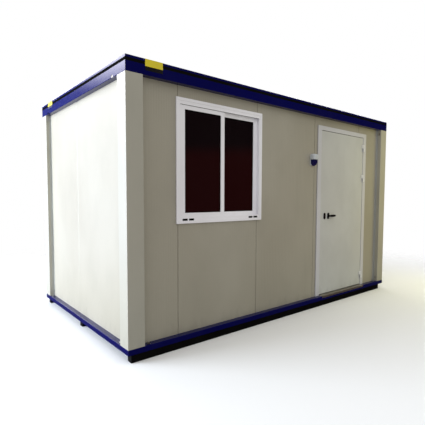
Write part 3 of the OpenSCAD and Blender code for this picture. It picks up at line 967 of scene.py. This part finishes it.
class CABIN_OT_window(bpy.types.Operator):
    """Finishes the sliding window: frame, trim, sashes, gaskets, spacers, head seal and drains"""
    bl_idname = "cabin.window"
    bl_label = "Window"

    def execute(self, context):
        where = ("cabin", "window_aluminium")
        for name in ("window_frame", "window_sash_left", "window_sash_right"):
            redone(name, name + "_milled", *where, window_coat, edge=0.0012)
        low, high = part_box("window_frame")
        band, proud, spacer_inset = 0.026, 0.0035, 0.014
        trim = mitred_ring(low.x, high.x, low.z, high.z, band, low.y - proud, low.y, 0.0012)
        finished(trim, "window_face_trim", *where, window_coat)
        for hand in ("left", "right"):
            pane = f"window_glass_{hand}"
            painted(NODES[pane], smoked_glass_with_painted_reflection)
            front, back = (corner.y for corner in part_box(pane))
            gasket = mitred_ring(*pane_light(pane, 0.0), 0.007, front - 0.003, front + 0.0002,
                                 0.0010)
            finished(gasket, f"window_gasket_{hand}", *where, rubber_and_painted_shade)
            spacer = mitred_ring(*pane_light(pane, spacer_inset), 0.006, back + 0.0005,
                                 back + 0.0065, 0.0006)
            finished(spacer, f"window_spacer_{hand}", *where, hinge_steel)
        # The black head seal is a brush seal and also painted shade under the head trim.
        finished(head_seal_and_shade(), "window_head_brush_and_shade", *where, rubber_and_painted_shade)
        finished(drain_caps(), "window_drain_caps", *where, rubber_and_painted_shade)
        return {"FINISHED"}


def pane_light(pane, inset):
    """The part of a pane that its sash leaves open, less an inset, as x0, x1, z0, z1."""
    hidden = 0.010
    low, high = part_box(pane)
    x0, x1, z0, z1 = low.x + hidden, high.x - hidden, low.z + hidden, high.z - hidden
    return x0 + inset, x1 - inset, z0 + inset, z1 - inset


def mitred_ring(x0, x1, z0, z1, face, y0, y1, edge):
    """Four bars round an upright rectangle, with a fine mitred joint at each corner."""
    middle = Vector(((x0 + x1) / 2, 0, (z0 + z1) / 2))
    hairline = 0.0002
    bars = []
    for low, high in (((x0, y0, z1 - face), (x1, y1, z1)), ((x0, y0, z0), (x1, y1, z0 + face)),
                      ((x0, y0, z0), (x0 + face, y1, z1)), ((x1 - face, y0, z0), (x1, y1, z1))):
        bar = block(low, high)
        centre = (Vector(low) + Vector(high)) / 2
        flat = (high[0] - low[0]) > (high[2] - low[2])
        for x, z in ((x0, z0), (x1, z0), (x0, z1), (x1, z1)):
            corner = Vector((x, 0, z))
            near = abs(z - centre.z) <= face if flat else abs(x - centre.x) <= face
            if not near:
                continue
            out_x = math.copysign(1, x - middle.x)
            out_z = math.copysign(1, z - middle.z)
            normal = Vector((out_x, 0, -out_z)) if flat else Vector((-out_x, 0, out_z))
            normal.normalize()
            cut(bar, corner - normal * hairline, normal, keep_below=True)
        bars.append(soften(bar, edge, 2, 50))
    return joined(bars)


def head_seal_and_shade():
    """The dark brush seal in the frame's head, in front of the sashes. Its black is also painted
    shade, which deepens the dark line under the head.
    """
    left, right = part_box("window_sash_left"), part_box("window_sash_right")
    hidden, tall = 0.0055, 0.003
    z = left[1].z - hidden
    return slab((left[0].x + hidden, left[0].y - 0.003, z - tall),
                (right[1].x - hidden, left[0].y - 0.0005, z), 0.0006)


def drain_caps():
    """A small hooded cap in each drain slot of the sill."""
    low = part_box("window_frame")[0]
    floor = [v.co for v in NODES["window_frame"].data.vertices
             if 0.001 < v.co.y - low.y < 0.0045 and v.co.z < low.z + 0.05]
    sides = sorted({round(p.x, 4) for p in floor})
    z0, z1 = min(p.z for p in floor), max(p.z for p in floor)
    depth, lap, proud = floor[0].y, 0.0035, 0.003
    caps = []
    for x0, x1 in zip(sides[::2], sides[1::2]):
        caps.append(slab((x0 - lap, low.y - 0.001, z0 - lap), (x1 + lap, depth, z1 + lap),
                         0.0006, 1))
        caps.append(slab((x0, low.y - proud, z1 - proud), (x1, low.y, z1 + 0.001), 0.0008))
    return joined(caps)


class CABIN_OT_door(bpy.types.Operator):
    """Finishes the door: casing, leaf, seal, brush and tread plate"""
    bl_idname = "cabin.door"
    bl_label = "Door"

    def execute(self, context):
        redone("door_frame", "door_casing_folded", "cabin", "door_trim", casing_paint,
               edge=0.0015)
        finished(door_skin(), "door_leaf_skinned", "door", "door_skin", leaf_paint,
                 ["door_leaf"])
        finished(door_seal_and_gap_shade(), "door_stop_seal_and_gap_shade", "cabin", "door_trim", rubber_and_painted_shade)
        low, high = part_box("door_leaf")
        brush = slab((low.x + 0.002, low.y + 0.006, low.z - 0.0065),
                     (high.x - 0.002, low.y + 0.020, low.z), 0.001)
        finished(brush, "door_bottom_brush", "door", "door_trim", rubber_and_painted_shade)
        finished(tread_plate(), "tread_plate_ribbed", "cabin", "threshold_plate", plate_metal,
                 ["threshold"])
        return {"FINISHED"}


def door_skin():
    """The leaf, with its faces divided along the folded rim."""
    leaf = dressed("door_leaf", edge=0.0)
    low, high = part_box("door_leaf")
    rim = 0.020
    for at, normal in (((low.x + rim, 0, 0), (1, 0, 0)), ((high.x - rim, 0, 0), (1, 0, 0)),
                       ((0, 0, low.z + rim), (0, 0, 1)), ((0, 0, high.z - rim), (0, 0, 1))):
        cut(leaf, at, normal)
    return soften(leaf, 0.0012)


def door_seal_and_gap_shade():
    """Rubber bead on the stop that the leaf closes against, and a flat black lip in the gap round
    it. The lip is painted shade, which makes the gap along the top and the left edge read dark.
    """
    low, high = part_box("door_leaf")
    front, y0, y1 = low.y + 0.004, high.y + 0.0005, high.y + 0.005
    bead, lip, edge = 0.008, 0.0018, 0.005
    x0, x1, z1 = low.x + 0.002, high.x - 0.002, high.z - 0.002
    outer_x, outer_z = low.x - edge, high.z + edge
    # The two lips in the gap round the leaf are painted shade.
    return joined([slab(start, end, 0.0006) for start, end in (
        ((x0, y0, low.z), (x0 + bead, y1, z1)),
        ((x1 - bead, y0, low.z), (x1, y1, z1)),
        ((x0, y0, z1 - bead), (x1, y1, z1)),
        ((outer_x, front, low.z), (outer_x + lip, y1, outer_z)),
        ((outer_x, front, outer_z - lip), (high.x + edge, y1, outer_z)))])


def tread_plate():
    """The tread: a plate over the ledge with raised grip ribs, lapped down over the rail."""
    low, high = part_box("threshold")
    count, first, pitch, width = 6, 0.007, 0.0095, 0.0035
    ribs = [dressed("threshold", edge=0.0006)]
    for n in range(count):
        y = low.y + first + n * pitch
        ribs.append(slab((low.x + 0.004, y, high.z - 0.0002),
                         (high.x - 0.004, y + width, high.z + 0.0012), 0.0005, 1))
    return joined(ribs)


class CABIN_OT_door_fittings(bpy.types.Operator):
    """Finishes the hinges, the handle set and the lever"""
    bl_idname = "cabin.door_fittings"
    bl_label = "Door Fittings"

    def execute(self, context):
        redone("door_hinge_frame_side", "hinge_lower_knuckles", "cabin", "door_trim",
               hinge_paint_and_highlight)
        redone("door_hinge_leaf_side", "hinge_upper_knuckles", "door", "door_trim", hinge_paint_and_highlight)
        finished(hinge_caps(), "hinge_caps", "door", "door_trim", hinge_steel)
        redone("door_furniture", "handle_plates_rounded", "door", "handle_black", grip_black,
               edge=0.002)
        finished(key_cylinder(), "key_cylinder", "door", "handle_black", key_metal)
        finished(lever_bar(), "lever_shaped", "lever", "handle_black", grip_black,
                 ["door_lever"])
        return {"FINISHED"}


def joint_place(name):
    """Where a joint's axis passes, in the shared frame."""
    return Vector(next(j for j in frame["joints"] if j["name"] == name)["pos_m"])


def hinge_caps():
    """A domed cap on top of each hinge."""
    axis = joint_place("door_hinge")
    knuckle, radius, tall = 0.047, 0.0068, 0.003
    levels = sorted({round(v.co.z, 4) for v in NODES["door_hinge_leaf_side"].data.vertices})
    tops = [z for z in levels if any(abs(z - knuckle - low) < 0.0006 for low in levels)]
    return joined([stud((axis.x, axis.y, z), (axis.x, axis.y, z + tall), radius, 0.0016, 3)
                   for z in tops])


def key_cylinder():
    """Profile cylinder in the lock plate: a round barrel on a slim stem."""
    low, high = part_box("door_furniture")
    x, z = low.x + 0.018, (low.z + high.z) / 2 - 0.006
    radius, half, tall = 0.0085, 0.005, 0.022
    parts = []
    for y0, y1 in ((low.y - 0.0015, low.y + 0.001), (high.y - 0.001, high.y + 0.0015)):
        parts.append(stud((x, y0, z), (x, y1, z), radius, 0.0004, 1))
        parts.append(slab((x - half, y0, z - tall), (x + half, y1, z), 0.0004, 1))
    return joined(parts)


def lever_bar():
    """Both levers on their spindle. Each is one bar: a round neck, a spun bend and a tapered
    grip with a round end."""
    low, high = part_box("door_lever")
    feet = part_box("door_furniture")
    axis = joint_place("lever_turn")
    neck, spindle = 0.0105, 0.005
    bars = [rod((axis.x, low.y + neck, axis.z), (axis.x, high.y - neck, axis.z), spindle)]
    for outward, foot, tip in ((-1, feet[0].y, low.y), (1, feet[1].y, high.y)):
        bars.append(one_lever(axis.x, axis.z, foot, tip, high.x, outward, neck))
    return joined(bars)


def one_lever(x, z, foot_y, tip_y, tip_x, outward, neck):
    """One lever, extruded from a disc on its plate along the neck, the bend and the grip."""
    bend = 0.016
    nothing_selected()
    bpy.ops.mesh.primitive_circle_add(vertices=24, radius=neck, fill_type="NGON",
                                      location=(x, foot_y, z), rotation=(math.pi / 2, 0, 0))
    lever = settle(bpy.context.object)
    choose(lever, "FACE", everything)
    grip_y = tip_y - outward * neck
    straight = abs(grip_y - foot_y) - bend
    bpy.ops.mesh.extrude_region_move(
        TRANSFORM_OT_translate={"value": (0, outward * straight, 0)})
    bpy.ops.mesh.spin(steps=8, angle=outward * math.pi / 2, axis=(0, 0, 1),
                      center=(x + bend, grip_y - outward * bend, z))
    grip = tip_x - neck - (x + bend)
    for share, tall in ((0.12, 1.42), (0.45, 1.0), (0.38, 0.86)):
        bpy.ops.mesh.extrude_region_move(TRANSFORM_OT_translate={"value": (grip * share, 0, 0)})
        bpy.ops.transform.resize(value=(1, 0.96, tall))
    for step, small in ((0.55, 0.88), (0.30, 0.72), (0.15, 0.45)):
        bpy.ops.mesh.extrude_region_move(TRANSFORM_OT_translate={"value": (neck * step, 0, 0)})
        bpy.ops.transform.resize(value=(1, small, small))
    bpy.ops.mesh.select_all(action="SELECT")
    bpy.ops.mesh.remove_doubles(threshold=1e-6)
    bpy.ops.mesh.normals_make_consistent(inside=False)
    done()
    return lever


class CABIN_OT_inlet(bpy.types.Operator):
    """Makes the power inlet: a rounded hood over a slanting socket with a round blue lid"""
    bl_idname = "cabin.inlet"
    bl_label = "Power Inlet"

    def execute(self, context):
        low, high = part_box("inlet_housing")
        lip_z, inset = (low.z + high.z) / 2, 0.010
        lip, foot = Vector((0, low.y + 0.012, lip_z)), Vector((0, high.y - 0.008, low.z))
        down = (foot - lip).normalized()
        outward = Vector((0, down.z, -down.y))
        socket = (lip + foot) / 2 + down * 0.002
        socket.x = (low.x + high.x) / 2
        finished(inlet_hood(low, high, lip_z), "inlet_hood", "cabin", "inlet_white",
                 inlet_plastic, ["inlet_housing"])
        body = block((low.x + inset, low.y + inset, low.z + inset),
                     (high.x - inset, high.y, lip_z + 0.001))
        cut(body, lip, outward, keep_below=True)
        rim_radius = 0.043
        rim = stud(socket - outward * 0.012, socket + outward * 0.003, rim_radius, 0.002,
                   sides=48)
        finished(joined([soften(body, 0.008, 4), rim]), "inlet_socket_body", "cabin",
                 "inlet_blue", lid_plastic)
        finished(round_lid(socket, outward, down), "inlet_round_lid", "cabin", "inlet_blue",
                 lid_plastic, ["inlet_lid"])
        return {"FINISHED"}


def inlet_hood(low, high, lip_z):
    """The moulded hood with its domed crown, and the plate behind the socket."""
    body = block((low.x, low.y, lip_z), (high.x, high.y, high.z))
    clear, crown_radius = 0.01, 0.028

    def is_crown(edge):
        a, b = (v.co for v in edge.verts)
        middle = (a + b) / 2
        return middle.y < high.y - clear and middle.z > lip_z + clear

    choose(body, "EDGE", is_crown)
    bpy.ops.mesh.bevel(offset=crown_radius, segments=8, affect="EDGES")
    done()
    plate = slab((low.x, high.y - 0.006, low.z), (high.x, high.y, lip_z + 0.02), 0.002)
    return joined([soften(body, 0.002), plate])


def round_lid(socket, outward, down):
    """The lid: a dished disc with a round boss, a hinge lug and a finger tab."""
    disc = rod(socket + outward * 0.002, socket + outward * 0.011, 0.040, 48)
    choose(disc, "FACE", lambda f: f.normal.dot(outward) > 0.9)
    bpy.ops.mesh.inset(thickness=0.007, depth=-0.003)
    bpy.ops.mesh.inset(thickness=0.014, depth=0)
    bpy.ops.mesh.inset(thickness=0.003, depth=0.006)
    done()
    soften(disc, 0.001)
    across = Vector((1, 0, 0))
    lugs = []
    for place, reach, deep in ((-0.036, 0.012, 0.005), (0.038, 0.008, 0.004)):
        start = socket + down * place + outward * 0.007
        lugs.append(stud(start - across * reach, start + across * reach, deep, 0.0008, 1))
    return joined([disc, *lugs])


class CABIN_OT_labels(bpy.types.Operator):
    """Makes the plain labels on the roof ring: a yellow film with a dark lower band"""
    bl_idname = "cabin.labels"
    bl_label = "Labels"

    def execute(self, context):
        films, bands = [], []
        band_share, film_t, edge = 0.36, 0.0006, 0.0002
        for side, x0, x1, height in label_places():
            y0, z1 = -side_reach(side) - 0.001, ROOF_Z - 0.0005
            z0 = z1 - height
            split = z0 + height * band_share
            for group, bottom, top in ((films, split, z1), (bands, z0, split - 0.0004)):
                label = slab((x0, y0, bottom), (x1, y0 + film_t, top), edge, 1)
                group.append(turned(label, side))
        finished(joined(films), "label_films", "cabin", "label_yellow", label_film,
                 ["side_labels"])
        finished(joined(bands), "label_bands", "cabin", "label_yellow", label_ink)
        return {"FINISHED"}


def label_places():
    """Side, left and right edge and height of each label, as seen from outside its side."""
    islands = {}
    for v in NODES["side_labels"].data.vertices:
        for side in range(4):
            local = Matrix.Rotation(-side * math.pi / 2, 3, "Z") @ v.co
            if local.y < -side_reach(side) + 1e-4:
                islands.setdefault(side, []).append(local.copy())
    places = []
    for side, points in sorted(islands.items()):
        xs, zs = [p.x for p in points], [p.z for p in points]
        places.append((side, min(xs), max(xs), max(zs) - min(zs)))
    return places


class CABIN_OT_fixings(bpy.types.Operator):
    """Bolts at the feet and heads of the posts and on the ledges beside them"""
    bl_idname = "cabin.fixings"
    bl_label = "Bolts"

    def execute(self, context):
        finished(joined(post_bolts()), "post_bolts", "cabin", "navy_steel", bolt_zinc)
        return {"FINISHED"}


def bolt(place, outward):
    """A hexagon bolt on a washer, its head pointing outward."""
    place, outward = Vector(place), Vector(outward)
    across = sizes().bolt_size
    foot, top = place + outward * 0.0025, place + outward * 0.0105
    return joined([stud(place, foot, across * 0.75, 0.0005, 1),
                   stud(foot, top, across / math.sqrt(3), 0.001, 1, 6)])


def post_bolts():
    """Six bolts at each post: head and foot on both sides, and one on each ledge."""
    bolts, from_end, from_post = [], 0.06, 0.05
    for x_side in (-1, 1):
        for y_side in (-1, 1):
            x, y = x_side * (END_REACH - post_leg()), y_side * (LONG_REACH - post_leg())
            ledge_x = x_side * (END_REACH - WALL_X) / 2
            ledge_y = y_side * (LONG_REACH - WALL_Y) / 2
            for z in (DECK_Z + from_end, SOFFIT_Z - from_end):
                bolts.append(bolt((x, ledge_y, z), (-x_side, 0, 0)))
                bolts.append(bolt((ledge_x, y, z), (0, -y_side, 0)))
            bolts.append(bolt((x - x_side * from_post, ledge_y, DECK_Z), UP))
            bolts.append(bolt((ledge_x, y - y_side * from_post, DECK_Z), UP))
    return bolts


class CABIN_OT_floor(bpy.types.Operator):
    """Covers the floor board with vinyl"""
    bl_idname = "cabin.floor"
    bl_label = "Floor"

    def execute(self, context):
        painted(NODES["floor_board"], floor_vinyl)
        return {"FINISHED"}


class CABIN_OT_stage(bpy.types.Operator):
    """Sets the camera, the lamps, the light from all round and a pale floor"""
    bl_idname = "cabin.stage"
    bl_label = "Stage"

    def execute(self, context):
        set_camera()
        set_floor()
        set_lamps()
        set_room_light()
        return {"FINISHED"}


def set_camera():
    """Places the camera by the settings of the stage."""
    given = stage()
    data = bpy.data.cameras.new("camera")
    data.lens, data.sensor_width = given.lens, 36
    data.shift_x, data.shift_y = given.shift
    camera = bpy.data.objects.new("camera", data)
    camera.matrix_world = (
        Matrix.Translation(given.place) @ Matrix.Rotation(-given.yaw, 4, "Z")
        @ Matrix.Rotation(math.pi / 2 - given.pitch, 4, "X") @ Matrix.Rotation(given.roll, 4, "Z"))
    bpy.context.scene.collection.objects.link(camera)
    bpy.context.scene.camera = camera


def set_floor():
    """A round pale floor that fades out towards the horizon. It sends on less light than it
    shows, and next to none to gloss."""
    nothing_selected()
    bpy.ops.mesh.primitive_circle_add(vertices=96, radius=30, fill_type="NGON",
                                      location=(0, 0, -0.0005))
    floor = settle(bpy.context.object)
    floor.name = "stage_floor"
    pale = tuple(stage().floor)
    material, tree, shader = blank("pale floor", pale, 0.85)
    shader.inputs["Specular IOR Level"].default_value = 0.1
    path = node(tree, "ShaderNodeLightPath")
    tone = mixed(tree, path.outputs["Is Camera Ray"], tinted(pale, 0.345), pale)
    link(tree, mixed(tree, path.outputs["Is Glossy Ray"], tone, tinted(pale, 0.06)),
         shader.inputs["Base Color"])
    away = node(tree, "ShaderNodeVectorMath", operation="LENGTH")
    link(tree, own_place(tree), away.inputs[0])
    link(tree, ranged(tree, away.outputs["Value"], 2.6, 6.5, 1.0, 0.0), shader.inputs["Alpha"])
    floor.data.materials.append(material)


def lamp(name, power, place, target, width, height, tone):
    """A rectangular lamp that points at a target."""
    data = bpy.data.lights.new(name, "AREA")
    data.shape, data.size, data.size_y = "RECTANGLE", width, height
    data.energy, data.color = power, tone
    made = bpy.data.objects.new(name, data)
    made.location = place
    made.rotation_euler = (Vector(target) - Vector(place)).to_track_quat("-Z", "Y").to_euler()
    bpy.context.scene.collection.objects.link(made)
    return made


def set_lamps():
    """A large cool lamp beyond the left end, and a soft warm one at the door end."""
    lamp("key_lamp", stage().key, (-8.0, 2.6, 1.8), (-2.0, 0.0, 0.6), 5.0, 5.0, (0.80, 0.88, 1.0))
    fill = lamp("fill_lamp", stage().fill, (3.4, -2.6, 1.7), (1.9, -1.1, 1.3), 1.5, 2.0,
                (0.96, 0.90, 0.05))
    fill.visible_glossy = False


def set_room_light():
    """Plain white to the eye and soft grey as a light. Gloss sees a dark side in front of the
    cabin, deep red low down, and a bright sky behind and beside it."""
    white, soft_grey = (1.0, 1.0, 1.0), (0.62, 0.61, 0.59)
    deep_red, dark = (0.16, 0.012, 0.012), (0.012, 0.014, 0.020)
    low_sky, bright_sky, high_sky = (0.20, 0.25, 0.65), (11.0, 11.0, 12.0), (0.7, 0.7, 0.8)
    world = bpy.data.worlds.new("studio")
    bpy.context.scene.world = world
    world.use_nodes = True
    tree = world.node_tree
    tree.nodes.clear()
    way = axes(tree, node(tree, "ShaderNodeTexCoord").outputs["Generated"])
    soft = mixed(tree, ranged(tree, way["Z"], -0.1, 0.6), soft_grey, white)
    sky = mixed(tree, ranged(tree, way["Z"], 0.245, 0.355), low_sky, bright_sky)
    sky = mixed(tree, ranged(tree, way["Z"], 0.38, 0.52), sky, high_sky)
    front = mixed(tree, ranged(tree, way["Z"], 0.10, 0.14), deep_red, dark)
    gloss = mixed(tree, ranged(tree, way["Y"], -0.25, 0.25), front, sky)
    path = node(tree, "ShaderNodeLightPath")
    light = background(tree, soft, stage().room)
    for ray, tone in (("Is Glossy Ray", gloss), ("Is Camera Ray", white)):
        choice = node(tree, "ShaderNodeMixShader")
        link(tree, path.outputs[ray], choice.inputs[0])
        link(tree, light, choice.inputs[1])
        link(tree, background(tree, tone, 1.0), choice.inputs[2])
        light = choice.outputs[0]
    out = node(tree, "ShaderNodeOutputWorld")
    link(tree, light, out.inputs["Surface"])
    bpy.context.scene.view_settings.view_transform = "Standard"


def background(tree, tone, strength):
    """Light from all round in one tone."""
    made = node(tree, "ShaderNodeBackground", Strength=strength)
    feed(tree, tone, made.inputs["Color"])
    return made.outputs[0]


# ---- Panel and registration ----

OPERATORS = (CABIN_OT_base, CABIN_OT_floor, CABIN_OT_posts, CABIN_OT_walls, CABIN_OT_roof,
             CABIN_OT_window, CABIN_OT_door, CABIN_OT_door_fittings, CABIN_OT_inlet,
             CABIN_OT_labels, CABIN_OT_fixings, CABIN_OT_stage)


class CABIN_PT_sidebar(bpy.types.Panel):
    """Lists the cabin's settings and steps in the sidebar"""
    bl_idname = "CABIN_PT_sidebar"
    bl_label = "Site Cabin"
    bl_space_type = "VIEW_3D"
    bl_region_type = "UI"
    bl_category = "Cabin"

    def draw(self, context):
        for group in (sizes(), colours(), stage()):
            box = self.layout.box()
            for name in group.bl_rna.properties.keys():
                if name not in {"rna_type", "name"}:
                    box.prop(group, name)
        for operator in OPERATORS:
            self.layout.operator(operator.bl_idname)


CLASSES = (CabinSizes, CabinColours, CabinStage, *OPERATORS, CABIN_PT_sidebar)


def register():
    for cls in CLASSES:
        bpy.utils.register_class(cls)
    bpy.types.Scene.cabin_sizes = bpy.props.PointerProperty(type=CabinSizes)
    bpy.types.Scene.cabin_colours = bpy.props.PointerProperty(type=CabinColours)
    bpy.types.Scene.cabin_stage = bpy.props.PointerProperty(type=CabinStage)


def unregister():
    del bpy.types.Scene.cabin_stage
    del bpy.types.Scene.cabin_colours
    del bpy.types.Scene.cabin_sizes
    for cls in reversed(CLASSES):
        bpy.utils.unregister_class(cls)


def main():
    register()
    for operator in OPERATORS:
        category, name = operator.bl_idname.split(".")
        getattr(getattr(bpy.ops, category), name)()


if __name__ == "__main__":
    main()
